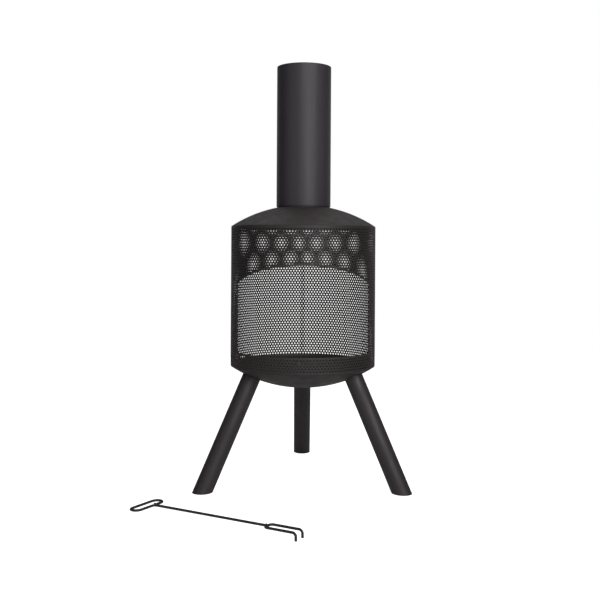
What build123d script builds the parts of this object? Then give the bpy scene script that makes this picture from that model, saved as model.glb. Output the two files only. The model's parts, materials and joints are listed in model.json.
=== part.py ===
from build123d import *
from math import asin, atan2, cos, degrees, hypot, radians, sin, sqrt
import os

# Steel chiminea: a perforated drum between a pressed dome and a pressed bowl, on three
# splayed tube legs, with a lift-off chimney pipe and a loose poker lying beside it.
# Millimetres, +Z up. The origin is on the ground under the drum's axis, and the fire
# opening faces -Y.

# Drum, rolled from one perforated sheet
drum_diameter = 386.0       # outside
drum_height = 370.0
drum_sheet = 1.0            # thickness
seam_lap = 12.0             # overlap of the sheet's two ends, at the back
seam_gap = 0.6              # open joint seen on the inside of the lap
ground_gap = 245.0          # from the ground to the lowest point of the bowl

# Fire opening, in sizes taken along the flat sheet
opening_width = 414.0
opening_rise = 228.5        # from the sill to the top of the arch
sill_height = 42.0          # sheet left standing below the opening
arch_radius = 470.0
arch_points = 13            # points that carry the arch round the drum
trim_cover = 4.0            # how far the folded edge trim reaches over the sheet
trim_sheet = 0.8

# Dome and bowl, two pressings of one shape
dish_depth = 58.0
dish_sheet = 1.2
dish_flange = 5.0           # length of the turned rim inside the drum
dish_bend = 4.0             # inside radius where the rim turns

# Chimney pipe and the collar that it slips over
pipe_diameter = 145.0       # outside
pipe_wall = 1.2
pipe_length = 373.5
pipe_slip = 1.0             # radial clearance between pipe and collar
collar_wall = 1.5
collar_height = 45.0        # stands above the pipe's seat
collar_flange = 14.0        # width of the foot welded under the dome
seat_height = 2.6           # stop ring between dome and pipe
seat_inset = 0.6            # how far the stop ring stays inside the pipe's outside

# Legs
leg_diameter = 48.0
leg_wall = 1.5
foot_circle_radius = 290.0  # where the legs' axes reach the ground
leg_azimuths = {"front_left": 210.0, "front_right": 330.0, "rear": 90.0}
leg_plate = 4.0             # thickness of the plate welded in each leg's top
foot_plug = 12.0            # height of the plug in each leg's foot

# Leg fasteners, two M6 bolts for each leg, entered from inside the bowl
bolt_diameter = 6.0
bolt_clearance = 0.6        # of the bolt holes, on the diameter
bolt_length = 16.0
bolt_spacing = 21.0
bolt_head = 4.0
hex_across_flats = 10.0     # bolt heads and weld nuts
nut_height = 5.0
washer_diameter = 12.0
washer_thickness = 1.6

# Poker: a rod bent to a closed hand loop, and a U-shaped fork welded to its end
rod_diameter = 6.0
loop_length = 100.0         # outside
loop_width = 34.0           # outside
loop_offset = 11.0          # from the shaft's line to the middle of the loop
shaft_length = 330.0        # from the loop's near side to the fork's base, axis to axis
fork_width = 26.0           # axis to axis
fork_length = 82.0          # from the fork's base to the turned-down tips, axis to axis
fork_bend = 8.0             # bend radius on the rod's axis
tip_length = 17.0
poker_place = (-352.0, -267.0)   # where the shaft meets the loop
poker_heading = -33.2       # degrees, from +X

# Worked-out sizes
drum_radius = drum_diameter / 2
dish_radius = (drum_radius ** 2 + dish_depth ** 2) / (2 * dish_depth)
drum_bottom = ground_gap + dish_depth
drum_top = drum_bottom + drum_height
dome_centre = drum_top + dish_depth - dish_radius     # height of the dome's sphere centre
bowl_centre = ground_gap + dish_radius                # height of the bowl's sphere centre
pipe_radius = pipe_diameter / 2
collar_radius = pipe_radius - pipe_wall - pipe_slip
leg_radius = leg_diameter / 2
leg_bore = leg_radius - leg_wall
bolt_hole = bolt_diameter + bolt_clearance
rod_radius = rod_diameter / 2


def cap_height(sphere_radius, radius):
    """Distance from a sphere's centre to its surface, at a radius from the axis."""
    return sqrt(sphere_radius ** 2 - radius ** 2)


def revolved(edges):
    """Turn a closed outline of (radius, height) edges about the Z axis."""
    return revolve(Plane.XZ * make_face(edges), Axis.Z)


def tube(outer, wall, bottom, height):
    return extrude(Plane.XY.offset(bottom) * (Circle(outer) - Circle(outer - wall)), height)


def arc_on_sphere(sphere_radius, centre, start_radius, end_radius):
    """Arc of a sphere's outline between two radii, as (radius, height)."""
    middle = (start_radius + end_radius) / 2
    points = [(r, centre + cap_height(sphere_radius, r)) for r in (start_radius, middle, end_radius)]
    return ThreePointArc(*points)


# Pressed dish with its rim in the plane z = 0 and its crown up
def pressed_dish():
    outer_rim = drum_radius - drum_sheet
    inner_rim = outer_rim - dish_sheet
    inner_sphere = dish_radius - dish_sheet
    centre = dish_depth - dish_radius
    outer = arc_on_sphere(dish_radius, centre, 0, outer_rim)
    inner = arc_on_sphere(inner_sphere, centre, inner_rim, 0)
    face = make_face([
        outer,
        Line(outer @ 1, (outer_rim, -dish_flange)),
        Line((outer_rim, -dish_flange), (inner_rim, -dish_flange)),
        Line((inner_rim, -dish_flange), inner @ 0),
        inner,
        Line(inner @ 1, outer @ 0),
    ])
    outer_corner = face.vertices().sort_by_distance(outer @ 1)[0]
    face = fillet(outer_corner, dish_bend + dish_sheet)
    inner_corner = face.vertices().sort_by_distance(inner @ 0)[0]
    face = fillet(inner_corner, dish_bend)
    return revolve(Plane.XZ * face, Axis.Z)


# Space cut out for the fire opening, grown by a margin on every side
def opening_space(margin):
    reach = 2 * drum_radius
    half_width = opening_width / 2 + margin
    half_angle = half_width / drum_radius
    sill = drum_bottom + sill_height - margin
    arch_centre = drum_bottom + sill_height + opening_rise - arch_radius
    arch = arch_radius + margin
    side, depth = reach * sin(half_angle), reach * cos(half_angle)
    sector = make_face(Polyline((0, 0), (side, -depth), (side, -reach), (-side, -reach),
                                (-side, -depth), (0, 0)))
    column = extrude(Plane.XY.offset(sill) * sector, 2 * drum_height)
    # The arch is a circle on the flat sheet, carried round the drum.
    steps = [half_width * (2 * i / (arch_points - 1) - 1) for i in range(arch_points)]
    crown = Spline(*[(drum_radius * sin(s / drum_radius), arch_centre + cap_height(arch, s))
                     for s in steps])
    start, end = crown @ 0, crown @ 1
    profile = make_face([
        crown,
        Line(end, (reach, end.Y)),
        Line((reach, end.Y), (reach, sill - drum_sheet)),
        Line((reach, sill - drum_sheet), (-reach, sill - drum_sheet)),
        Line((-reach, sill - drum_sheet), (-reach, start.Y)),
        Line((-reach, start.Y), start),
    ])
    return column & extrude(Plane.XZ * profile, reach)


def make_drum():
    wall = tube(drum_radius, drum_sheet, drum_bottom, drum_height) - opening_space(0)
    wall -= Pos(0, drum_radius, drum_bottom + drum_height / 2) * Box(seam_gap, 4 * drum_sheet, drum_height)
    lap_box = Pos(0, drum_radius, drum_bottom + drum_height / 2) * Box(seam_lap, 8 * drum_sheet, drum_height)
    lap = tube(drum_radius + drum_sheet, drum_sheet, drum_bottom, drum_height) & lap_box
    return wall + lap


def make_trim(drum):
    outer = drum_radius + trim_sheet
    band = tube(outer, drum_sheet + 2 * trim_sheet, drum_bottom, drum_height)
    return (band & opening_space(trim_cover)) - opening_space(-trim_sheet) - drum


def make_dome():
    hole = Pos(0, 0, drum_top) * Cylinder(collar_radius, 4 * dish_depth)
    return Pos(0, 0, drum_top) * pressed_dish() - hole


# Height of the flat ring that the chimney pipe stands on
pipe_seat = dome_centre + cap_height(dish_radius, collar_radius) + seat_height


def make_collar():
    bore = collar_radius - collar_wall
    foot = collar_radius + collar_flange
    under_dome = dish_radius - dish_sheet
    under_foot = under_dome - collar_wall
    ring = pipe_radius - seat_inset
    ring_bottom = pipe_seat - seat_height
    top = pipe_seat + collar_height
    foot_top = arc_on_sphere(under_dome, dome_centre, collar_radius, foot)
    foot_bottom = arc_on_sphere(under_foot, dome_centre, foot, bore)
    outline = Polyline(foot_bottom @ 1, (bore, top), (collar_radius, top), (collar_radius, pipe_seat),
                       (ring, pipe_seat), (ring, ring_bottom), (collar_radius, ring_bottom), foot_top @ 0)
    return revolved([foot_top, Line(foot_top @ 1, foot_bottom @ 0), foot_bottom, outline])


def make_pipe():
    return tube(pipe_radius, pipe_wall, pipe_seat, pipe_length)


# Each leg stands square to the bowl: its axis runs through the bowl's sphere centre.
def leg_plane(azimuth):
    out = Vector(cos(radians(azimuth)), sin(radians(azimuth)), 0)
    centre = Vector(0, 0, bowl_centre)
    along = (out * foot_circle_radius - centre).normalized()
    across = Vector(-out.Y, out.X, 0)
    return Plane(origin=centre, x_dir=across, z_dir=along)


leg_reach = hypot(bowl_centre, foot_circle_radius)      # from the sphere's centre to the ground
leg_start = cap_height(dish_radius, leg_bore)           # where the square end meets the bowl
bolt_places = [(-bolt_spacing / 2, 0), (bolt_spacing / 2, 0)]
washer_seat = cap_height(dish_radius - dish_sheet, (bolt_spacing + washer_diameter) / 2)
head_seat = washer_seat - washer_thickness
plate_end = leg_start + leg_plate


def above_ground(solid):
    slab = 2 * foot_circle_radius
    return solid - Pos(0, 0, -slab) * Box(4 * slab, 4 * slab, 2 * slab)


def bolt_circles(diameter):
    return [Pos(x, y) * Circle(diameter / 2) for x, y in bolt_places]


def along_leg(plane, sketch, start, length):
    return extrude(plane.offset(start) * sketch, length)


def make_leg(plane):
    section = Circle(leg_radius) - Circle(leg_bore)
    return above_ground(along_leg(plane, section, leg_start, leg_reach))


def make_leg_plate(plane):
    section = Circle(leg_bore)
    for hole in bolt_circles(bolt_hole):
        section -= hole
    blank = along_leg(plane, section, leg_start - leg_plate, 2 * leg_plate)
    return blank - plane.location * Sphere(dish_radius)


def make_foot_plug(plane):
    filling = above_ground(along_leg(plane, Circle(leg_bore), leg_start, leg_reach))
    slab = Pos(0, 0, foot_plug / 2) * Box(4 * foot_circle_radius, 4 * foot_circle_radius, foot_plug)
    return filling & slab


def make_bolts(plane):
    bolts = []
    for x, y in bolt_places:
        head = Pos(x, y) * RegularPolygon(hex_across_flats / 2, 6, major_radius=False)
        shank = Pos(x, y) * Circle(bolt_diameter / 2)
        bolts.append(along_leg(plane, head, head_seat - bolt_head, bolt_head)
                     + along_leg(plane, shank, head_seat, bolt_length))
    return bolts


def make_washers(plane):
    ring = Circle(washer_diameter / 2) - Circle(bolt_hole / 2)
    return [along_leg(plane, Pos(x, y) * ring, head_seat, washer_thickness) for x, y in bolt_places]


def make_weld_nuts(plane):
    nut = RegularPolygon(hex_across_flats / 2, 6, major_radius=False) - Circle(bolt_diameter / 2)
    return [along_leg(plane, Pos(x, y) * nut, plate_end, nut_height) for x, y in bolt_places]


def make_bowl(planes):
    bowl = Pos(0, 0, drum_bottom) * Rot(180, 0, 0) * pressed_dish()
    for plane in planes:
        for hole in bolt_circles(bolt_hole):
            bowl -= along_leg(plane, hole, head_seat, leg_plate + washer_thickness)
    return bowl


# Rod of round section along a path of straight runs and bends
def bent_rod(path):
    start = Plane(origin=path @ 0, z_dir=path % 0)
    return sweep(start * Circle(rod_radius), path=path)


# The poker lies on the far side of its loop and on its two tips. It is drawn flat, with
# the shaft along +X from the loop, then tilted and turned.
loop_depth = loop_width - rod_diameter                  # axis to axis
tip_place = shaft_length + fork_length
tilt_base = loop_depth + tip_place - rod_radius
poker_tilt = atan2(tip_length, tilt_base) - asin(rod_radius / hypot(tilt_base, tip_length))
poker_height = rod_radius + loop_depth * sin(poker_tilt)
poker_frame = Pos(*poker_place, poker_height) * Rot(0, 0, poker_heading) * Rot(0, -degrees(poker_tilt), 0)


def make_fork():
    half = fork_width / 2
    path = FilletPolyline(
        (tip_place, half, -tip_length), (tip_place, half, 0), (shaft_length, half, 0),
        (shaft_length, -half, 0), (tip_place, -half, 0), (tip_place, -half, -tip_length),
        radius=fork_bend)
    return bent_rod(path)


def make_poker_rod(fork):
    low = -loop_offset - (loop_length - rod_diameter) / 2
    high = -loop_offset + (loop_length - rod_diameter) / 2
    end_radius = 0.49 * loop_depth
    corner = fork_bend
    path = FilletPolyline(
        (shaft_length, 0, 0), (0, 0, 0), (0, low, 0), (-loop_depth, low, 0),
        (-loop_depth, high, 0), (0, high, 0), (0, corner, 0),
        radius=[corner, end_radius, end_radius, end_radius, end_radius])
    closing = extrude(Plane(origin=(0, corner, 0), z_dir=(0, -1, 0)) * Circle(rod_radius), corner + rod_radius)
    return bent_rod(path) + closing - fork


def save(node, shape):
    shape.label = node
    export_step(shape, f"parts/{node}.step")


os.makedirs("parts", exist_ok=True)
legs = {name: leg_plane(azimuth) for name, azimuth in leg_azimuths.items()}

drum = make_drum()
save("drum_sheet", drum)
save("opening_trim", make_trim(drum))
save("top_dome", make_dome())
save("chimney_collar", make_collar())
save("chimney_pipe", make_pipe())
save("bottom_bowl", make_bowl(legs.values()))

for name, plane in legs.items():
    save(f"leg_{name}", make_leg(plane))
    save(f"leg_plate_{name}", make_leg_plate(plane))
    save(f"foot_plug_{name}", make_foot_plug(plane))

for node, make in (("leg_bolts", make_bolts), ("leg_washers", make_washers), ("leg_weld_nuts", make_weld_nuts)):
    save(node, Compound(children=[solid for plane in legs.values() for solid in make(plane)]))

fork = make_fork()
save("poker_fork", poker_frame * fork)
save("poker_rod", poker_frame * make_poker_rod(fork))
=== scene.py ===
import json
import math
import bpy
import bmesh
from mathutils import Euler, Matrix, Vector


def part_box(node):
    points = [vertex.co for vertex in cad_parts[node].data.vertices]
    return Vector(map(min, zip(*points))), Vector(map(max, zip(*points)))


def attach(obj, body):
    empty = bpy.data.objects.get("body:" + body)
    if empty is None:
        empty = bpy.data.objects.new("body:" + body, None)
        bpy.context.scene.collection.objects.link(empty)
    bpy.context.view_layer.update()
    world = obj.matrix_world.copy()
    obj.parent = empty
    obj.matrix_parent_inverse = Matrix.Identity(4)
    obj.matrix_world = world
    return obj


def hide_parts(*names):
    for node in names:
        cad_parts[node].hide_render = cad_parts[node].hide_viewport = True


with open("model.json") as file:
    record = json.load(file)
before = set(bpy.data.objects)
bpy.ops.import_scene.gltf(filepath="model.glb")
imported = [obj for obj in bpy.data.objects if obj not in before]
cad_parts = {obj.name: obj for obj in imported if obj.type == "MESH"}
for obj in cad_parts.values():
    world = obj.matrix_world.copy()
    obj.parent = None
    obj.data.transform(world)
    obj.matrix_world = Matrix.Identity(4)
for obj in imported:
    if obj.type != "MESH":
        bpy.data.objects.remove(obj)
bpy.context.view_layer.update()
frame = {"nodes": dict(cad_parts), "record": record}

# A perforated steel chiminea with a lift-off pipe and a loose poker, in metres.
mm = 0.001


# Node helpers, used by the geometry trees and by the materials
def put(tree, kind, inputs=None, **settings):
    node = tree.nodes.new(kind)
    for name, value in settings.items():
        setattr(node, name, value)
    for socket, value in (inputs or {}).items():
        if isinstance(value, bpy.types.NodeSocket):
            tree.links.new(value, node.inputs[socket])
        else:
            node.inputs[socket].default_value = value
    return node


def sums(tree, operation, *values):
    return put(tree, "ShaderNodeMath", dict(enumerate(values)), operation=operation).outputs[0]


def plus(tree, a, b):
    return sums(tree, "ADD", a, b)


def times(tree, a, b):
    return sums(tree, "MULTIPLY", a, b)


def vector(tree, x=0.0, y=0.0, z=0.0):
    return put(tree, "ShaderNodeCombineXYZ", {"X": x, "Y": y, "Z": z}).outputs[0]


def more(tree, a, b):
    compare = put(tree, "FunctionNodeCompare", {0: a, 1: b}, data_type="FLOAT", operation="GREATER_THAN")
    return compare.outputs[0]


def opposite(tree, flag):
    return put(tree, "FunctionNodeBooleanMath", {0: flag}, operation="NOT").outputs[0]


# The first output of a new geometry node
def geo(tree, kind, inputs=None, **settings):
    return put(tree, "GeometryNode" + kind, inputs, **settings).outputs[0]


def placeOf(tree):
    return put(tree, "ShaderNodeSeparateXYZ", {0: geo(tree, "InputPosition")}).outputs


def distanceTo(tree, target, element):
    return put(tree, "GeometryNodeProximity", {0: target}, target_element=element).outputs["Distance"]


def joined(tree, *parts):
    node = put(tree, "GeometryNodeJoinGeometry")
    for part in parts:
        tree.links.new(part, node.inputs[0])
    return node.outputs[0]


def circle(tree, corners, radius):
    return geo(tree, "CurvePrimitiveCircle", {"Resolution": corners, "Radius": radius}, mode="RADIUS")


def filled(tree, curve):
    return geo(tree, "FillCurve", {"Curve": curve}, mode="TRIANGLES")


def without(tree, geometry, unwanted, domain):
    return geo(tree, "DeleteGeometry", {"Geometry": geometry, "Selection": unwanted}, domain=domain)


# Gives a flat sheet a thickness, as one closed skin
def thickened(tree, flat, thickness, weld):
    up = {"Mesh": flat, "Offset Scale": thickness, "Individual": False}
    raised = geo(tree, "ExtrudeMesh", up, mode="FACES")
    under = geo(tree, "FlipFaces", {"Mesh": flat})
    return geo(tree, "MergeByDistance", {"Geometry": joined(tree, raised, under), "Distance": weld})


def startTree(name, sockets):
    tree = bpy.data.node_groups.new(name, "GeometryNodeTree")
    tree.is_modifier = True
    tree.interface.new_socket("Geometry", in_out="INPUT", socket_type="NodeSocketGeometry")
    for label, kind in sockets.items():
        tree.interface.new_socket(label, in_out="INPUT", socket_type="NodeSocket" + kind)
    tree.interface.new_socket("Geometry", in_out="OUTPUT", socket_type="NodeSocketGeometry")
    return tree, put(tree, "NodeGroupInput").outputs


def endTree(tree, geometry, material, sharpAngle=0.6):
    real = geo(tree, "RealizeInstances", {"Geometry": geometry})
    smooth = geo(tree, "SetShadeSmooth", {"Geometry": real, "Shade Smooth": True}, domain="FACE")
    angle = put(tree, "GeometryNodeInputMeshEdgeAngle").outputs["Unsigned Angle"]
    sharp = {"Geometry": smooth, "Shade Smooth": False, "Selection": more(tree, angle, sharpAngle)}
    creased = geo(tree, "SetShadeSmooth", sharp, domain="EDGE")
    painted = geo(tree, "SetMaterial", {"Geometry": creased, "Material": material})
    put(tree, "NodeGroupOutput", {0: painted})


# Runs a tree on a few points and edges, and keeps the result as a plain mesh
def grow(name, tree, points, edges, values, marks=None):
    seed = bpy.data.meshes.new(name + "Seed")
    seed.from_pydata(points, edges, [])
    for label, numbers in (marks or {}).items():
        isVector = not isinstance(numbers[0], float)
        attribute = seed.attributes.new(label, "FLOAT_VECTOR" if isVector else "FLOAT", "POINT")
        flat = [x for v in numbers for x in v] if isVector else numbers
        attribute.data.foreach_set("vector" if isVector else "value", flat)
    carrier = bpy.data.objects.new(name + "Seed", seed)
    modifier = carrier.modifiers.new("grow", "NODES")
    modifier.node_group = tree
    for item in tree.interface.items_tree:
        if item.in_out == "INPUT" and item.name in values:
            modifier[item.identifier] = values[item.name]
    bpy.context.scene.collection.objects.link(carrier)
    depsgraph = bpy.context.evaluated_depsgraph_get()
    mesh = bpy.data.meshes.new_from_object(carrier.evaluated_get(depsgraph))
    carrier.modifiers.remove(modifier)
    bpy.data.objects.remove(carrier)
    mesh.name = name
    piece = bpy.data.objects.new(name, mesh)
    bpy.context.scene.collection.objects.link(piece)
    return piece


def ring(count):
    return [(i, (i + 1) % count) for i in range(count)]


def chain(count):
    return [(i, i + 1) for i in range(count - 1)]


# Mesh helpers for the turned and bent sheet pieces
def meshPiece(name, vertices, faces, material, sharpAngle=0.6):
    mesh = bpy.data.meshes.new(name)
    mesh.from_pydata(vertices, [], faces)
    shape = bmesh.new()
    shape.from_mesh(mesh)
    if shape.calc_volume(signed=True) < 0:
        bmesh.ops.reverse_faces(shape, faces=shape.faces)
    shape.normal_update()
    edge = shape.verts.layers.float.new("edge")  # 1 beside a hard edge, where paint wears
    for e in shape.edges:
        if len(e.link_faces) == 2 and e.calc_face_angle(0) > sharpAngle:
            for v in e.verts:
                v[edge] = 1.0
    shape.to_mesh(mesh)
    shape.free()
    mesh.polygons.foreach_set("use_smooth", [True] * len(mesh.polygons))
    mesh.set_sharp_from_angle(angle=sharpAngle)
    mesh.materials.append(material)
    piece = bpy.data.objects.new(name, mesh)
    bpy.context.scene.collection.objects.link(piece)
    return piece


# Joins rows of points into a skin; a row of one point is a pole
def skin(rows, closeRows):
    vertices, starts, faces = [], [], []
    for row in rows:
        starts.append(len(vertices))
        vertices.extend(row)
    pairs = list(zip(range(len(rows)), range(1, len(rows))))
    if closeRows:
        pairs.append((len(rows) - 1, 0))
    for a, b in pairs:
        countA, countB = len(rows[a]), len(rows[b])
        for i in range(max(countA, countB)):
            j = i + 1
            corners = [starts[a] + i % countA, starts[a] + j % countA]
            corners += [starts[b] + j % countB, starts[b] + i % countB]
            corners = list(dict.fromkeys(corners))
            if len(corners) > 2:
                faces.append(corners)
    return vertices, faces


# Turns an outline of (radius, height) about the Z axis
def lathe(name, outline, material, closeRows=True):
    segments, nearAxis = 160, 1e-7
    rows = []
    for radius, height in outline:
        turns = [2 * math.pi * i / segments for i in range(segments if radius > nearAxis else 1)]
        rows.append([(radius * math.sin(t), -radius * math.cos(t), height) for t in turns])
    return meshPiece(name, *skin(rows, closeRows), material)


# Rounds an open outline's corners; its ends and shallow bends stay as they are
def softened(points, radius):
    steps, shallow, longest = 3, 0.3, 0.45
    points = [Vector(point) for point in points]
    out = [points[0]]
    for before, here, after in zip(points, points[1:], points[2:]):
        a, b = (before - here).normalized(), (after - here).normalized()
        turn = math.pi - a.angle(b)
        if turn < shallow:
            out.append(here)
            continue
        room = min((before - here).length, (after - here).length)
        reach = min(radius * math.tan(turn / 2), longest * room)
        start, end = here + a * reach, here + b * reach
        for t in (k / steps for k in range(steps + 1)):
            out.append(start * (1 - t) ** 2 + here * (2 * t * (1 - t)) + end * t ** 2)
    return [tuple(point) for point in out + [points[-1]]]


# Paints. Every number that is the same all over is on the shader's own socket.
paintLooks = {
    "pipePaint": {"dark": (0.026, 0.023, 0.028), "light": (0.041, 0.036, 0.044), "rough": (0.48, 0.62),
                  "grain": 620, "streak": (1.0, 1.0, 0.06), "bump": 0.10, "worn": (0.10, 0.096, 0.10)},
    "bodyPaint": {"dark": (0.024, 0.0185, 0.0195), "light": (0.038, 0.030, 0.031), "rough": (0.55, 0.70),
                  "grain": 560, "streak": (1.0, 1.0, 1.0), "bump": 0.12, "worn": (0.09, 0.082, 0.080)},
    # meshPaint carries a darker inner colour: painted shade on the drum's inner face
    "meshPaint": {"dark": (0.016, 0.0122, 0.0127), "light": (0.027, 0.0212, 0.0215), "rough": (0.54, 0.70),
                  "grain": 700, "streak": (1.0, 1.0, 1.0), "bump": 0.08, "worn": (0.07, 0.065, 0.064),
                  "innerPaintedShade": (0.011, 0.0068, 0.0048)},
    "legPaint": {"dark": (0.019, 0.0148, 0.0160), "light": (0.031, 0.025, 0.0268), "rough": (0.50, 0.66),
                 "grain": 600, "streak": (1.0, 1.0, 0.15), "bump": 0.11, "worn": (0.09, 0.085, 0.085)},
    "pokerPaint": {"dark": (0.014, 0.012, 0.0125), "light": (0.024, 0.0205, 0.021), "rough": (0.46, 0.62),
                   "grain": 900, "streak": (1.0, 1.0, 1.0), "bump": 0.16, "worn": (0.11, 0.105, 0.10)},
}
# paintGrain's last pair is the depth in from the drum's outer face where the painted shade of the inner face
# starts and where it is full
paintGrain = {"cloudScale": 9, "patchScale": 46, "finerGrit": 3.4, "cloudShare": 0.65, "gritShare": 0.35,
              "gritRelief": 0.35, "rub": 0.55, "relief": 0.6 * mm, "innerShadeDepth": (0.3 * mm, 0.9 * mm)}


def noise(tree, where, scale, detail=2.0):
    return put(tree, "ShaderNodeTexNoise", {"Vector": where, "Scale": scale, "Detail": detail}).outputs[0]


def ramped(tree, value, low, high, toLow=0.0, toHigh=1.0):
    return put(tree, "ShaderNodeMapRange", {"Value": value, "From Min": low, "From Max": high,
                                            "To Min": toLow, "To Max": toHigh}).outputs[0]


def mixed(tree, factor, a, b):
    node = put(tree, "ShaderNodeMix", {0: factor}, data_type="RGBA")
    for socket, colour in ((6, a), (7, b)):
        if isinstance(colour, bpy.types.NodeSocket):
            tree.links.new(colour, node.inputs[socket])
        else:
            node.inputs[socket].default_value = (*colour, 1)
    return node.outputs[2]


def startMaterial(name):
    material = bpy.data.materials.new(name)
    material.use_nodes = True
    material.node_tree.nodes.clear()
    return material, material.node_tree


# Ends a material in one shader, with its relief as a bump
def endMaterial(tree, colour, rough, height, strength, depth, metallic=0.0):
    bump = put(tree, "ShaderNodeBump", {"Strength": strength, "Distance": depth, "Height": height})
    shader = put(tree, "ShaderNodeBsdfPrincipled", {
        "Base Color": colour, "Metallic": metallic, "Roughness": rough, "Normal": bump.outputs[0]})
    put(tree, "ShaderNodeOutputMaterial", {0: shader.outputs[0]})


# Matt stove paint: cloudy colour, orange-peel skin, fine grit, and edges rubbed lighter
def stovePaint(name, look):
    material, tree = startMaterial(name)
    grain = paintGrain
    place = put(tree, "ShaderNodeTexCoord").outputs["Object"]
    stretched = put(tree, "ShaderNodeMapping", {"Vector": place, "Scale": look["streak"]}).outputs[0]
    cloud = noise(tree, stretched, grain["cloudScale"], 4)
    patch = noise(tree, stretched, grain["patchScale"], 3)
    peel = noise(tree, place, look["grain"], 2)
    grit = noise(tree, place, look["grain"] * grain["finerGrit"], 1)
    tone = plus(tree, ramped(tree, cloud, 0.32, 0.68, 0.0, grain["cloudShare"]),
                ramped(tree, grit, 0.35, 0.65, 0.0, grain["gritShare"]))
    colour = mixed(tree, tone, look["dark"], look["light"])
    edge = put(tree, "ShaderNodeAttribute", attribute_name="edge").outputs["Fac"]
    rub = times(tree, ramped(tree, edge, 0.45, 1.0), ramped(tree, patch, 0.42, 0.62))
    colour = mixed(tree, times(tree, rub, grain["rub"]), colour, look["worn"])
    if "innerPaintedShade" in look:  # painted shade: the drum's inner face is made darker and warmer, standing in for the shade inside the drum
        x, y, _ = put(tree, "ShaderNodeSeparateXYZ", {0: place}).outputs
        fromAxis = sums(tree, "SQRT", plus(tree, times(tree, x, x), times(tree, y, y)))
        shallow, deep = (drumRadius - depth for depth in grain["innerShadeDepth"])
        colour = mixed(tree, ramped(tree, fromAxis, shallow, deep), colour, look["innerPaintedShade"])
    rough = ramped(tree, patch, 0.3, 0.7, *look["rough"])
    height = plus(tree, peel, times(tree, grit, grain["gritRelief"]))
    endMaterial(tree, colour, rough, height, look["bump"], grain["relief"])
    return material


drumLow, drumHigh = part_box("drum_sheet")
drumRadius = drumHigh.x
paints = {name: stovePaint(name, look) for name, look in paintLooks.items()}


# Zinc-plated fasteners, dulled by handling
def platedSteel():
    material, tree = startMaterial("platedSteel")
    place = put(tree, "ShaderNodeTexCoord").outputs["Object"]
    dull = noise(tree, place, 420, 3)
    fine = noise(tree, place, 2600, 2)
    colour = mixed(tree, ramped(tree, dull, 0.35, 0.65), (0.20, 0.20, 0.205), (0.34, 0.335, 0.33))
    rough = ramped(tree, dull, 0.3, 0.7, 0.34, 0.52)
    endMaterial(tree, colour, rough, fine, 0.08, 0.4 * mm, metallic=1.0)
    return material


# Moulded black plastic with a spark-eroded grain
def mouldedPlastic():
    material, tree = startMaterial("plugPlastic")
    place = put(tree, "ShaderNodeTexCoord").outputs["Object"]
    cells = put(tree, "ShaderNodeTexVoronoi", {"Vector": place, "Scale": 1400}).outputs["Distance"]
    scuff = noise(tree, place, 150, 4)
    colour = mixed(tree, ramped(tree, scuff, 0.5, 0.75), (0.012, 0.012, 0.012), (0.045, 0.043, 0.042))
    rough = ramped(tree, scuff, 0.3, 0.7, 0.55, 0.75)
    endMaterial(tree, colour, rough, cells, 0.15, 0.3 * mm)
    return material


fastenerSteel = platedSteel()
plugPlastic = mouldedPlastic()
print("materials mixed")

# Drum: one sheet of 4.5 mm holes, rolled and lapped at the back. It is made as three bands,
# split between rows of holes, which keeps each one light.
trimLow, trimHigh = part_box("opening_trim")

drumLook = {"sheet": 1.0 * mm, "holeRadius": 2.25 * mm, "holesRound": 147, "rowPitch": 6.8 * mm,
            "edgeMargin": 0.7 * mm, "phaseAcross": 6.45 * mm, "phaseUp": 0.9 * mm, "lap": 12.4 * mm,
            "lapRise": 5 * mm, "lapSlip": 0.9 * mm, "step": 4 * mm, "bandRows": (-1, 20, 33, 60),
            "holeCorners": 12, "endSlack": 0.01 * mm, "snap": 0.3 * mm, "sliver": 0.02 * mm * mm,
            "weld": 0.002 * mm}
trimLook = {"cover": 4 * mm, "gauge": 0.8 * mm, "archRadius": 470 * mm, "noseSteps": 4, "bluntest": 0.5}

sill = trimLow.z + trimLook["cover"]
archTop = trimHigh.z - trimLook["cover"]
openingHalf = math.asin(trimHigh.x / (drumRadius + trimLook["gauge"])) * drumRadius - trimLook["cover"]
holePitch = (2 * math.pi * drumRadius + drumLook["lapSlip"]) / drumLook["holesRound"]
innerRadius = drumRadius - drumLook["sheet"]


def archHeight(across):
    radius = trimLook["archRadius"]
    return archTop - radius + math.sqrt(radius ** 2 - across ** 2)


# Carries a point of the flat sheet round the drum; depth is outwards from the inner wall
def wrapped(across, up, depth):
    angle = across / drumRadius
    radius = innerRadius + depth
    return (radius * math.sin(angle), -radius * math.cos(angle), up)


def stepped(points, step):
    out = []
    for a, b in zip(points, points[1:] + points[:1]):
        a, b = Vector(a), Vector(b)
        count = max(1, round((b - a).length / step))
        out.extend(tuple(a.lerp(b, i / count)) for i in range(count))
    return out


# The opening's outline on the flat sheet, in even steps
def openingOutline():
    count = 2 * round(openingHalf / drumLook["step"])
    arch = [openingHalf * (1 - 2 * i / count) for i in range(count + 1)]
    corners = [(-openingHalf, sill), (openingHalf, sill)] + [(x, archHeight(x)) for x in arch]
    return stepped(corners, drumLook["step"])


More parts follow.
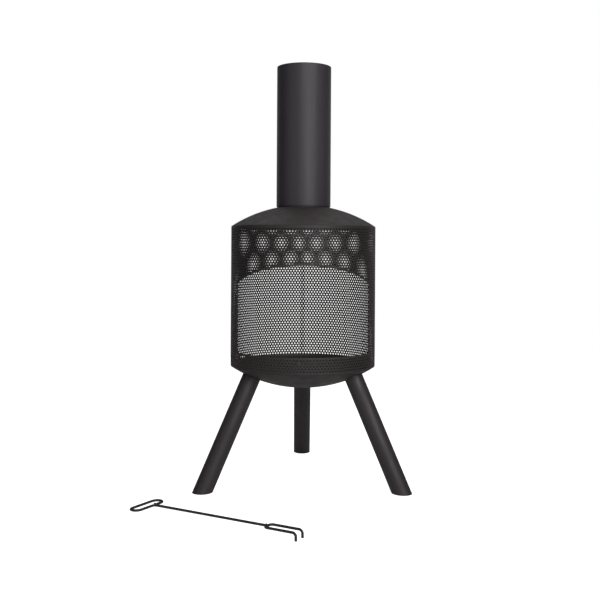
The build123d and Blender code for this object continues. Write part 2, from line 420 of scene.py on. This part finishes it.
def perforateTree():
    tree, given = startTree("perforate", {
        "Hole Radius": "Float", "Hole Corners": "Int", "Pitch": "Float", "Row Pitch": "Float",
        "Columns": "Int", "Rows": "Int", "Phase Across": "Float", "First Row": "Float",
        "Edge Margin": "Float", "Half Length": "Float", "End Slack": "Float", "Snap": "Float",
        "Sliver": "Float", "Weld": "Float", "Band Low": "Float", "Band High": "Float", "Sheet": "Float",
        "Inner Radius": "Float", "Wrap Radius": "Float", "Lap Start": "Float", "Lap End": "Float",
        "Material": "Material"})
    rim, pitch, rowPitch = given["Geometry"], given["Pitch"], given["Row Pitch"]
    plate = filled(tree, geo(tree, "MeshToCurve", {"Mesh": rim}))
    # Hole centres: a grid with every other row moved half a pitch
    width = times(tree, pitch, sums(tree, "SUBTRACT", given["Columns"], 1))
    height = times(tree, rowPitch, sums(tree, "SUBTRACT", given["Rows"], 1))
    grid = geo(tree, "MeshGrid", {
        "Size X": width, "Size Y": height, "Vertices X": given["Columns"], "Vertices Y": given["Rows"]})
    x, y, _ = placeOf(tree)
    climb = plus(tree, y, times(tree, height, 0.5))
    row = sums(tree, "ROUND", sums(tree, "DIVIDE", climb, rowPitch))
    shift = times(tree, sums(tree, "FLOORED_MODULO", row, 2.0), times(tree, pitch, 0.5))
    centre = vector(tree, plus(tree, plus(tree, x, shift), given["Phase Across"]),
                    plus(tree, climb, given["First Row"]))
    centres = geo(tree, "SetPosition", {"Geometry": grid, "Position": centre})
    # A cell is a hexagon of sheet round one hole; beside the sheet's edges it stays plain
    cellRadius = sums(tree, "DIVIDE", pitch, math.sqrt(3))
    cells = without(tree, centres, more(tree, distanceTo(tree, plate, "FACES"), cellRadius), "POINT")
    nearEnd = sums(tree, "SUBTRACT", given["Half Length"], given["End Slack"])
    sides = without(tree, rim, more(tree, sums(tree, "ABSOLUTE", x), nearEnd), "EDGE")
    clear = plus(tree, given["Hole Radius"], given["Edge Margin"])
    drilled = more(tree, distanceTo(tree, sides, "EDGES"), clear)
    pointUp = {"Geometry": circle(tree, 6, cellRadius), "Rotation": (0, 0, math.pi / 6)}
    evenRows = times(tree, pitch, math.sqrt(3) / 2)
    stretch = vector(tree, 1.0, sums(tree, "DIVIDE", rowPitch, evenRows), 1.0)
    edge = geo(tree, "Transform", {"Geometry": geo(tree, "Transform", pointUp), "Scale": stretch})
    hole = circle(tree, given["Hole Corners"], given["Hole Radius"])
    tiles = []
    for chosen, outline in ((drilled, joined(tree, edge, hole)), (opposite(tree, drilled), edge)):
        cell = filled(tree, outline)
        tiles.append(geo(tree, "InstanceOnPoints", {"Points": cells, "Selection": chosen, "Instance": cell}))
    flat = geo(tree, "RealizeInstances", {0: joined(tree, *tiles)})
    # Trim the cells back to the sheet's edges, and keep one band of rows
    overPlate = put(tree, "GeometryNodeRaycast", {
        "Target Geometry": plate, "Source Position": vector(tree, x, y, 1.0), "Ray Direction": (0, 0, -1),
        "Ray Length": 2.0}).outputs["Is Hit"]
    onRim = put(tree, "GeometryNodeProximity", {0: rim}, target_element="EDGES").outputs["Position"]
    flat = geo(tree, "SetPosition", {
        "Geometry": flat, "Selection": opposite(tree, overPlate), "Position": onRim})
    flat = geo(tree, "MergeByDistance", {"Geometry": flat, "Distance": given["Snap"]})
    facing = put(tree, "ShaderNodeSeparateXYZ", {0: geo(tree, "InputNormal")}).outputs["Z"]
    slivers = more(tree, given["Sliver"], geo(tree, "InputMeshFaceArea"))
    unwanted = [slivers, more(tree, 0.0, facing)]
    unwanted += [more(tree, y, given["Band High"]), more(tree, given["Band Low"], y)]
    for selection in unwanted:
        flat = without(tree, flat, selection, "FACE")
    solid = thickened(tree, flat, given["Sheet"], given["Weld"])
    # Roll it, with one end stepped out over the other
    x, y, z = placeOf(tree)
    step = put(tree, "ShaderNodeMapRange", {
        "Value": x, "From Min": given["Lap Start"], "From Max": given["Lap End"], "To Min": 0.0,
        "To Max": given["Sheet"]}, interpolation_type="SMOOTHSTEP").outputs[0]
    radius = plus(tree, plus(tree, given["Inner Radius"], z), step)
    angle = sums(tree, "DIVIDE", x, given["Wrap Radius"])
    towardsBack = times(tree, radius, sums(tree, "COSINE", angle))
    sideways = times(tree, radius, sums(tree, "SINE", angle))
    rolled = vector(tree, sideways, times(tree, towardsBack, -1.0), y)
    endTree(tree, geo(tree, "SetPosition", {"Geometry": solid, "Position": rolled}), given["Material"])
    return tree


def perforatedDrum():
    look = drumLook
    sheetHalf = math.pi * drumRadius + look["lap"] / 2
    firstRow = drumLow.z + look["phaseUp"] - 2 * look["rowPitch"]
    bands = [firstRow + look["rowPitch"] * (row + 0.5) for row in look["bandRows"]]
    values = {
        "Hole Radius": look["holeRadius"], "Hole Corners": look["holeCorners"], "Pitch": holePitch,
        "Row Pitch": look["rowPitch"], "Columns": 2 * math.ceil(sheetHalf / holePitch + 1) + 1,
        "Rows": math.ceil((drumHigh.z - drumLow.z) / look["rowPitch"]) + 4,
        "Phase Across": look["phaseAcross"], "First Row": firstRow, "Edge Margin": look["edgeMargin"],
        "Half Length": sheetHalf, "End Slack": look["endSlack"], "Snap": look["snap"],
        "Sliver": look["sliver"], "Weld": look["weld"], "Sheet": look["sheet"], "Inner Radius": innerRadius,
        "Wrap Radius": drumRadius, "Lap Start": sheetHalf - look["lap"] - look["lapRise"],
        "Lap End": sheetHalf - look["lap"], "Material": paints["meshPaint"]}
    low, high = drumLow.z, drumHigh.z
    sheet = [(-sheetHalf, low), (sheetHalf, low), (sheetHalf, high), (-sheetHalf, high)]
    points, edges = [], []
    for loop in (sheet, openingOutline()):
        edges += [(len(points) + a, len(points) + b) for a, b in ring(len(loop))]
        points += [(x, y, 0.0) for x, y in loop]
    tree = perforateTree()
    for name, low, high in zip(("drumMeshLower", "drumMeshMiddle", "drumMeshUpper"), bands, bands[1:]):
        band = grow(name, tree, points, edges, {**values, "Band Low": low, "Band High": high})
        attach(band, "frame")
        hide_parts("drum_sheet")
        print(name, "faces", len(band.data.polygons))


perforatedDrum()


# Folded edge strip round the fire opening, a U that grips the sheet
def openingTrim():
    cover, gauge, sheet = trimLook["cover"], trimLook["gauge"], drumLook["sheet"]
    nose = trimLook["noseSteps"]
    turn = [math.pi / 2 * k / nose for k in range(nose + 1)]
    section = [(cover, sheet + gauge)]
    section += [(-gauge * math.sin(t), sheet + gauge * math.cos(t)) for t in turn]
    section += [(-gauge * math.cos(t), -gauge * math.sin(t)) for t in turn]
    section += [(cover, -gauge), (cover, 0.0), (0.0, 0.0), (0.0, sheet), (cover, sheet)]
    path = [Vector(point) for point in openingOutline()]
    rows = []
    for before, here, after in zip(path[-1:] + path, path, path[1:] + path[:1]):
        a, b = (here - before).normalized(), (after - here).normalized()
        out = Vector((a.y + b.y, -a.x - b.x)).normalized()
        out /= max(trimLook["bluntest"], out.dot(Vector((a.y, -a.x))))  # the mitre
        rows.append([wrapped(here.x + out.x * p, here.y + out.y * p, q) for p, q in section])
    trim = meshPiece("openingTrim", *skin(rows, True), paints["meshPaint"])
    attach(trim, "frame")
    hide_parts("opening_trim")
    print("opening trim folded", len(trim.data.polygons))


openingTrim()

# Dome and bowl: one pressing, with a rim turned into the drum
dishLook = {"sheet": 1.2 * mm, "flange": 5 * mm, "bend": 5.2 * mm, "arcSteps": 26, "bendSteps": 6}
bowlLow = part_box("bottom_bowl")[0]
dishDepth = drumLow.z - bowlLow.z
dishRadius = (drumRadius ** 2 + dishDepth ** 2) / (2 * dishDepth)
bowlCentre = bowlLow.z + dishRadius
domeCentre = drumHigh.z + dishDepth - dishRadius


def dishOutline(hole):
    sheet, bend = dishLook["sheet"], dishLook["bend"]
    centre = dishDepth - dishRadius
    bendRadius = innerRadius - bend
    bendHeight = centre + math.sqrt((dishRadius - bend) ** 2 - bendRadius ** 2)
    lean = math.atan2(bendHeight - centre, bendRadius)
    steps, bends = dishLook["arcSteps"], dishLook["bendSteps"]

    def wall(inset):
        radius = dishRadius - inset
        edge = radius * math.cos(lean)
        cap = [hole + (edge - hole) * i / steps for i in range(steps)]
        arc = [(r, centre + math.sqrt(radius ** 2 - r ** 2)) for r in cap]
        turns = [lean * (1 - i / bends) for i in range(bends + 1)]
        curl = bend - inset
        arc += [(bendRadius + curl * math.cos(t), bendHeight + curl * math.sin(t)) for t in turns]
        return arc

    lip = -dishLook["flange"]
    outer, inner = wall(0), wall(sheet)
    return outer + [(innerRadius, lip), (innerRadius - sheet, lip)] + inner[::-1]


collarLook = {"slip": 1.0 * mm, "pipeWall": 1.2 * mm, "wall": 1.5 * mm, "flange": 14 * mm, "flangeSteps": 4,
              "ringInset": 0.6 * mm, "ringHeight": 2.6 * mm, "groove": 1.2 * mm, "grooveTop": 0.4 * mm,
              "grooveFull": 0.9 * mm, "rimRound": 0.4 * mm, "rimLand": 2 * mm, "seatLand": 1 * mm}
pipeLow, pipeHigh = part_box("chimney_pipe")
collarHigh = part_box("chimney_collar")[1]
pipeRadius = pipeHigh.x
collarRadius = pipeRadius - collarLook["pipeWall"] - collarLook["slip"]


def dome():
    outline = [(r, drumHigh.z + z) for r, z in dishOutline(collarRadius)]
    piece = lathe("topDome", outline, paints["bodyPaint"])
    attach(piece, "frame")
    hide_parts("top_dome")


def bowl():
    outline = [(r, drumLow.z - z) for r, z in dishOutline(0.0)]
    piece = lathe("bottomBowl", outline, paints["bodyPaint"], closeRows=False)
    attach(piece, "frame")
    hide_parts("bottom_bowl")


dome()
bowl()
print("dome and bowl pressed")


# Collar inside the pipe, with the ring that the pipe stands on, undercut below its edge
def collar():
    look = collarLook
    bore, ringRadius = collarRadius - look["wall"], pipeRadius - look["ringInset"]
    underDome = dishRadius - dishLook["sheet"]
    count = look["flangeSteps"]
    footRadii = [collarRadius + look["flange"] * i / count for i in range(count + 1)]
    footTop = [(r, domeCentre + math.sqrt(underDome ** 2 - r ** 2)) for r in footRadii]
    underFoot = underDome - look["wall"]
    footBottom = [(r, domeCentre + math.sqrt(underFoot ** 2 - r ** 2)) for r in footRadii[:0:-1] + [bore]]
    seat, top = pipeLow.z, collarHigh.z
    ringFoot, grooveRadius = seat - look["ringHeight"], ringRadius - look["groove"]
    land = top - look["rimLand"]
    neck = [(bore, land), (bore, top), (collarRadius, top), (collarRadius, land),
            (collarRadius, seat + look["seatLand"]), (collarRadius, seat), (ringRadius, seat),
            (ringRadius, seat - look["grooveTop"]), (grooveRadius, seat - look["grooveFull"]),
            (grooveRadius, ringFoot), (collarRadius, ringFoot)]
    outline = footTop + footBottom + softened(neck, look["rimRound"])
    piece = lathe("chimneyCollar", outline, paints["bodyPaint"])
    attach(piece, "frame")
    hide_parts("chimney_collar")


collar()


# Sweeps a round section along straight runs, with a bend of its own at each corner
def rodTree():
    tree, given = startTree("bentRod", {
        "Rod Radius": "Float", "Sides": "Int", "Bend Steps": "Int", "Material": "Material"})
    path = geo(tree, "MeshToCurve", {"Mesh": given["Geometry"]})
    bend = put(tree, "GeometryNodeInputNamedAttribute", {"Name": "bend"}, data_type="FLOAT")
    bent = geo(tree, "FilletCurve", {
        "Curve": path, "Count": given["Bend Steps"], "Radius": bend.outputs["Attribute"],
        "Limit Radius": True}, mode="POLY")
    section = circle(tree, given["Sides"], given["Rod Radius"])
    rod = geo(tree, "CurveToMesh", {"Curve": bent, "Profile Curve": section, "Fill Caps": True})
    endTree(tree, rod, given["Material"], 0.9)
    return tree


# Chimney pipe, rolled and seam-welded down its back
pipeLook = {"wall": 1.2 * mm, "rimRound": 0.5 * mm, "rimLand": 3 * mm, "courses": 12,
            "seamRadius": 0.75 * mm, "seamRise": 0.35 * mm, "seamInset": 1 * mm, "seamSides": 12}


def pipe():
    look = pipeLook
    outer, inner = pipeRadius, pipeRadius - look["wall"]
    low, high = pipeLow.z, pipeHigh.z
    foot = [(inner, low + look["rimLand"]), (inner, low), (outer, low), (outer, low + look["rimLand"])]
    rim = [(outer, high - look["rimLand"]), (outer, high), (inner, high), (inner, high - look["rimLand"])]
    heights = [low + (high - low) * i / look["courses"] for i in range(1, look["courses"])]
    outline = softened(foot, look["rimRound"]) + [(outer, z) for z in heights]
    outline += softened(rim, look["rimRound"]) + [(inner, z) for z in heights[::-1]]
    piece = lathe("chimneyPipe", outline, paints["pipePaint"])
    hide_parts("chimney_pipe")
    back = outer + look["seamRise"] - look["seamRadius"]
    ends = [(0, back, low + look["seamInset"]), (0, back, high - look["seamInset"])]
    seam = grow("pipeSeam", rodTree(), ends, chain(2), {
        "Rod Radius": look["seamRadius"], "Sides": look["seamSides"], "Bend Steps": 1,
        "Material": paints["pipePaint"]}, {"bend": [0.0, 0.0]})
    for part in (piece, seam):
        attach(part, "chimney")


pipe()
print("collar and pipe turned")

# Legs: square cut where they meet the bowl, cut level at the ground
legLook = {"wall": 1.5 * mm, "segments": 72, "rows": 14, "endRow": 0.008}
plugLook = {"chamfer": 0.8 * mm, "dish": 1.2 * mm, "clearance": 0.1 * mm, "dishShare": 0.62,
            "soleShare": 0.7}
legNames = {"front_left": "legFrontLeft", "front_right": "legFrontRight", "rear": "legRear"}
legRadius = (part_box("leg_rear")[1].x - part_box("leg_rear")[0].x) / 2
legBore = legRadius - legLook["wall"]
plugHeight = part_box("foot_plug_rear")[1].z
footPlaces = {m["name"]: Vector(m["pos_m"]) for m in frame["record"]["mounts"]}
sphereCentre = Vector((0, 0, bowlCentre))


# Each leg's own directions: down along it, level across it, and square to both
def legAxis(name):
    foot = footPlaces["foot_" + name]
    along = (foot - sphereCentre).normalized()
    across = Vector((-foot.y, foot.x, 0)).normalized()
    return along, across, along.cross(across)


# A point at a radius and angle round the leg, at a distance from the bowl's centre
def besideLeg(axis, radius, angle, distance):
    along, across, up = axis
    return sphereCentre + along * distance + (across * math.cos(angle) + up * math.sin(angle)) * radius


# The same, at a height above the ground
def besideLegAt(axis, radius, angle, height):
    start = besideLeg(axis, radius, angle, 0.0)
    return start + axis[0] * ((height - start.z) / axis[0].z)


legAxes = {name: legAxis(name) for name in legNames}
angles = [2 * math.pi * i / legLook["segments"] for i in range(legLook["segments"])]
legStart = math.sqrt(dishRadius ** 2 - legBore ** 2)


def leg(name, axis):
    rows = []
    endRow, count = legLook["endRow"], legLook["rows"]
    fractions = [0.0, endRow] + [i / count for i in range(1, count)] + [1 - endRow, 1.0]
    for radius, order in ((legRadius, fractions), (legBore, fractions[::-1])):
        for f in order:
            rows.append([besideLeg(axis, radius, a, legStart).lerp(besideLegAt(axis, radius, a, 0.0), f)
                         for a in angles])
    piece = meshPiece(legNames[name], *skin(rows, True), paints["legPaint"])
    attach(piece, "frame")
    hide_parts("leg_" + name)


# Plug with a chamfered rim and a shallow dished sole
def footPlug(name, axis):
    chamfer, dish, edge = plugLook["chamfer"], plugLook["dish"], legBore - plugLook["clearance"]
    outline = [(0.0, dish), (legBore * plugLook["dishShare"], dish), (legBore * plugLook["soleShare"], 0.0),
               (edge - chamfer, 0.0), (edge, chamfer), (edge, plugHeight - chamfer),
               (edge - chamfer, plugHeight), (0.0, plugHeight)]
    rows = [[besideLegAt(axis, r, a, h) for a in (angles if r > 0 else angles[:1])] for r, h in outline]
    piece = meshPiece("footPlug" + legNames[name][3:], *skin(rows, False), plugPlastic)
    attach(piece, "frame")
    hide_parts("foot_plug_" + name)


for name, axis in legAxes.items():
    leg(name, axis)
    footPlug(name, axis)
print("legs and plugs cut")

# Leg bolts and washers, seen on the inside of the bowl
boltLook = {"diameter": 6 * mm, "length": 16 * mm, "spacing": 21 * mm, "headHeight": 4 * mm,
            "acrossFlats": 10 * mm, "crown": 7.4 * mm, "washerRadius": 6 * mm, "washerHole": 3.3 * mm,
            "washer": 1.6 * mm, "weld": 0.001 * mm}


# Sets one copy of a shape on each point, standing along the point's lean
def leaned(tree, points, shape):
    lean = put(tree, "GeometryNodeInputNamedAttribute", {"Name": "lean"}, data_type="FLOAT_VECTOR")
    turn = put(tree, "FunctionNodeAlignRotationToVector", {"Vector": lean.outputs["Attribute"]}, axis="Z")
    return geo(tree, "InstanceOnPoints", {"Points": points, "Rotation": turn.outputs[0], "Instance": shape})


def moved(tree, geometry, height):
    return geo(tree, "Transform", {"Geometry": geometry, "Translation": vector(tree, z=height)})


# A hexagon head crowned by a ball, on a plain shank
def boltTree():
    tree, given = startTree("bolts", {
        "Diameter": "Float", "Length": "Float", "Head Height": "Float", "Head Radius": "Float",
        "Crown": "Float", "Material": "Material"})
    headHeight = given["Head Height"]
    hexagon = geo(tree, "MeshCylinder", {"Vertices": 6, "Radius": given["Head Radius"], "Depth": headHeight})
    ball = geo(tree, "MeshUVSphere", {"Segments": 32, "Rings": 24, "Radius": given["Crown"]})
    ball = moved(tree, ball, sums(tree, "SUBTRACT", headHeight, given["Crown"]))
    head = put(tree, "GeometryNodeMeshBoolean", operation="INTERSECT", solver="EXACT")
    tree.links.new(hexagon, head.inputs["Mesh 2"])
    tree.links.new(ball, head.inputs["Mesh 2"])
    head = moved(tree, head.outputs[0], times(tree, headHeight, 0.5))
    shank = geo(tree, "MeshCylinder", {
        "Vertices": 20, "Radius": times(tree, given["Diameter"], 0.5), "Depth": given["Length"]})
    shank = moved(tree, shank, times(tree, given["Length"], -0.5))
    endTree(tree, leaned(tree, given["Geometry"], joined(tree, head, shank)), given["Material"], 0.45)
    return tree


def washerTree():
    tree, given = startTree("washers", {
        "Radius": "Float", "Hole Radius": "Float", "Thickness": "Float", "Weld": "Float",
        "Material": "Material"})
    rims = [circle(tree, 32, given[label]) for label in ("Radius", "Hole Radius")]
    washer = thickened(tree, filled(tree, joined(tree, *rims)), given["Thickness"], given["Weld"])
    endTree(tree, leaned(tree, given["Geometry"], washer), given["Material"])
    return tree


def fasteners():
    look = boltLook
    beside = look["spacing"] / 2
    washerSeat = math.sqrt((dishRadius - dishLook["sheet"]) ** 2 - (beside + look["washerRadius"]) ** 2)
    headSeats, washerSeats, leans = [], [], []
    for axis in legAxes.values():
        for side in (0.0, math.pi):
            headSeats.append(besideLeg(axis, beside, side, washerSeat - look["washer"]))
            washerSeats.append(besideLeg(axis, beside, side, washerSeat))
            leans.append(-axis[0])
    bolts = grow("legBolts", boltTree(), headSeats, [], {
        "Diameter": look["diameter"], "Length": look["length"], "Head Height": look["headHeight"],
        "Head Radius": look["acrossFlats"] / math.sqrt(3), "Crown": look["crown"],
        "Material": fastenerSteel}, {"lean": leans})
    washers = grow("legWashers", washerTree(), washerSeats, [], {
        "Radius": look["washerRadius"], "Hole Radius": look["washerHole"], "Thickness": look["washer"],
        "Weld": look["weld"], "Material": fastenerSteel}, {"lean": leans})
    for piece, node in ((bolts, "leg_bolts"), (washers, "leg_washers")):
        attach(piece, "frame")
        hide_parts(node)


fasteners()
print("fasteners set")

# Poker: bent rods swept along their corners, drawn flat and then laid on the ground
pokerLook = {"rodRadius": 3 * mm, "loopLength": 100 * mm, "loopWidth": 34 * mm, "loopOffset": 11 * mm,
             "shaft": 330 * mm, "forkWidth": 26 * mm, "forkLength": 82 * mm, "bend": 8 * mm, "tip": 17 * mm,
             "place": (-352 * mm, -267 * mm), "heading": -33.2, "sides": 20, "bendSteps": 10,
             "shaftShort": 1.8 * mm, "loopGap": 1 * mm, "loopEnd": 0.49, "beadRadius": 1.5 * mm,
             "beadStep": 1.3 * mm, "beadLift": 0.3 * mm, "closing": 2.5 * mm}


# Weld bead: overlapping beads along a path
def beadTree():
    tree, given = startTree("weldBead", {"Bead Radius": "Float", "Step": "Float", "Material": "Material"})
    path = geo(tree, "MeshToCurve", {"Mesh": given["Geometry"]})
    points = put(tree, "GeometryNodeCurveToPoints", {"Curve": path, "Length": given["Step"]}, mode="LENGTH")
    drop = geo(tree, "MeshIcoSphere", {"Radius": given["Bead Radius"], "Subdivisions": 2})
    size = put(tree, "FunctionNodeRandomValue", {2: 0.86, 3: 1.12, "Seed": 7}, data_type="FLOAT").outputs[1]
    beads = geo(tree, "InstanceOnPoints", {
        "Points": points.outputs["Points"], "Instance": drop, "Rotation": points.outputs["Rotation"],
        "Scale": size})
    endTree(tree, beads, given["Material"], 2.5)
    return tree


def pokerFrame():
    look = pokerLook
    depth = look["loopWidth"] - 2 * look["rodRadius"]
    base = depth + look["shaft"] + look["forkLength"] - look["rodRadius"]
    tilt = math.atan2(look["tip"], base) - math.asin(look["rodRadius"] / math.hypot(base, look["tip"]))
    lift = look["rodRadius"] + depth * math.sin(tilt)
    turn = Euler((0, -tilt, math.radians(look["heading"]))).to_matrix().to_4x4()
    return Matrix.Translation((*look["place"], lift)) @ turn


def poker():
    look = pokerLook
    lay = pokerFrame()
    rod, shaft, bend = look["rodRadius"], look["shaft"], look["bend"]
    depth = look["loopWidth"] - 2 * rod
    long = look["loopLength"] - 2 * rod
    low, high = -look["loopOffset"] - long / 2, -look["loopOffset"] + long / 2
    end, half = look["loopEnd"] * depth, look["forkWidth"] / 2
    tip, drop = shaft + look["forkLength"], -look["tip"]
    # Corners of each rod, with the radius of the bend at each
    handle = [((shaft - look["shaftShort"], 0, 0), 0.0), ((0, 0, 0), bend), ((0, low, 0), end),
              ((-depth, low, 0), end), ((-depth, high, 0), end), ((0, high, 0), end),
              ((0, look["loopGap"], 0), 0.0)]
    fork = [((tip, half, drop), 0.0), ((tip, half, 0), bend), ((shaft, half, 0), bend),
            ((shaft, -half, 0), bend), ((tip, -half, 0), bend), ((tip, -half, drop), 0.0)]
    tree = rodTree()
    values = {"Rod Radius": rod, "Sides": look["sides"], "Bend Steps": look["bendSteps"],
              "Material": paints["pokerPaint"]}
    for name, node, path in (("pokerRod", "poker_rod", handle), ("pokerFork", "poker_fork", fork)):
        corners, bends = zip(*path)
        piece = grow(name, tree, corners, chain(len(path)), values, {"bend": list(bends)})
        piece.data.transform(lay)
        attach(piece, "poker")
        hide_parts(node)
    # A bead round the shaft at the fork, and one over the top of the loop's closing joint
    seam = rod + look["beadLift"]
    around = [math.pi * i / 6 for i in range(12)]
    over = [math.radians(25 + 13 * i) for i in range(11)]
    closing = look["closing"]
    welds = {
        "forkWeld": ([(shaft - rod, seam * math.cos(t), seam * math.sin(t)) for t in around], ring(12)),
        "loopWeld": ([(seam * math.cos(t), closing, seam * math.sin(t)) for t in over], chain(11))}
    beads = beadTree()
    for name, (path, edges) in welds.items():
        piece = grow(name, beads, path, edges, {"Bead Radius": look["beadRadius"], "Step": look["beadStep"],
                                                "Material": paints["pokerPaint"]})
        piece.data.transform(lay)
        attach(piece, "poker")


poker()
print("poker laid down")

# CAD pieces that stay as they are, inside the legs
hiddenPaints = {"leg_plate_" + name: paints["legPaint"] for name in legNames}
hiddenPaints["leg_weld_nuts"] = fastenerSteel
for name, material in hiddenPaints.items():
    frame["nodes"][name].data.materials.clear()
    frame["nodes"][name].data.materials.append(material)

# Studio: a white floor that runs into white surroundings, soft boxes and a level camera
studioLook = {"floorSize": 5.0, "floorColour": (0.80, 0.80, 0.79), "floorGlow": 0.97,
              "worldColour": (1.0, 1.0, 1.0), "worldFill": 0.015}


def floor():
    half = studioLook["floorSize"] / 2
    corners = [(-half, -half, 0), (half, -half, 0), (half, half, 0), (-half, half, 0)]
    mesh = bpy.data.meshes.new("studioFloor")
    mesh.from_pydata(corners, [], [(0, 1, 2, 3)])
    material, tree = startMaterial("paleFloor")
    matt = put(tree, "ShaderNodeBsdfDiffuse", {"Color": (*studioLook["floorColour"], 1)}).outputs[0]
    seen = put(tree, "ShaderNodeLightPath").outputs["Is Camera Ray"]
    strength = times(tree, seen, studioLook["floorGlow"])
    glow = put(tree, "ShaderNodeEmission", {"Strength": strength}).outputs[0]
    both = put(tree, "ShaderNodeAddShader", {0: matt, 1: glow}).outputs[0]
    put(tree, "ShaderNodeOutputMaterial", {0: both})
    mesh.materials.append(material)
    plane = bpy.data.objects.new("studioFloor", mesh)
    bpy.context.scene.collection.objects.link(plane)


# Seen straight on, the surroundings are white; as light they are only a dim fill
def surroundings():
    world = bpy.data.worlds.new("studio")
    bpy.context.scene.world = world
    world.use_nodes = True
    tree = world.node_tree
    tree.nodes.clear()
    colour = (*studioLook["worldColour"], 1)
    seen = put(tree, "ShaderNodeLightPath").outputs["Is Camera Ray"]
    white = put(tree, "ShaderNodeBackground", {"Color": colour, "Strength": 1.0}).outputs[0]
    dim = put(tree, "ShaderNodeBackground", {"Color": colour, "Strength": studioLook["worldFill"]})
    mix = put(tree, "ShaderNodeMixShader", {0: seen, 1: dim.outputs[0], 2: white}).outputs[0]
    put(tree, "ShaderNodeOutputWorld", {0: mix})


lightLook = {
    "keyBox": {"at": (1.0, -2.7, 1.9), "aim": (0.0, 0.0, 0.65), "size": (1.8, 1.7), "power": 78},
    "fillBox": {"at": (-2.4, -2.0, 1.2), "aim": (0.0, 0.0, 0.6), "size": (1.4, 1.8), "power": 7},
    "topBox": {"at": (0.0, 1.2, 3.0), "aim": (0.0, 0.0, 0.6), "size": (3.2, 1.4), "power": 24},
    "backLeftBox": {"at": (-1.7, 2.4, 1.0), "aim": (0.0, 0.0, 0.6), "size": (1.2, 1.6), "power": 4},
    "backRightBox": {"at": (1.7, 2.4, 1.0), "aim": (0.0, 0.0, 0.6), "size": (1.2, 1.6), "power": 5},
}


def softBox(name, look):
    light = bpy.data.lights.new(name, "AREA")
    light.shape = "RECTANGLE"
    light.size, light.size_y = look["size"]
    light.energy = look["power"]
    box = bpy.data.objects.new(name, light)
    box.location = look["at"]
    box.rotation_euler = (Vector(look["aim"]) - Vector(look["at"])).to_track_quat("-Z", "Y").to_euler()
    box.visible_camera = False
    bpy.context.scene.collection.objects.link(box)


cameraLook = {"at": (-0.0088, -2.3433, 0.629), "lens": 52.34, "roll": -0.0055, "shift": (0.0, -0.0949)}


def camera():
    data = bpy.data.cameras.new("camera")
    data.lens = cameraLook["lens"]
    data.shift_x, data.shift_y = cameraLook["shift"]
    data.clip_start, data.clip_end = 0.05, 100
    seat = bpy.data.objects.new("camera", data)
    seat.location = cameraLook["at"]
    seat.rotation_euler = (math.radians(90), cameraLook["roll"], 0)
    bpy.context.scene.collection.objects.link(seat)
    bpy.context.scene.camera = seat


floor()
surroundings()
for name, look in lightLook.items():
    softBox(name, look)
camera()
bpy.context.scene.view_settings.view_transform = "Standard"
print("studio lit")
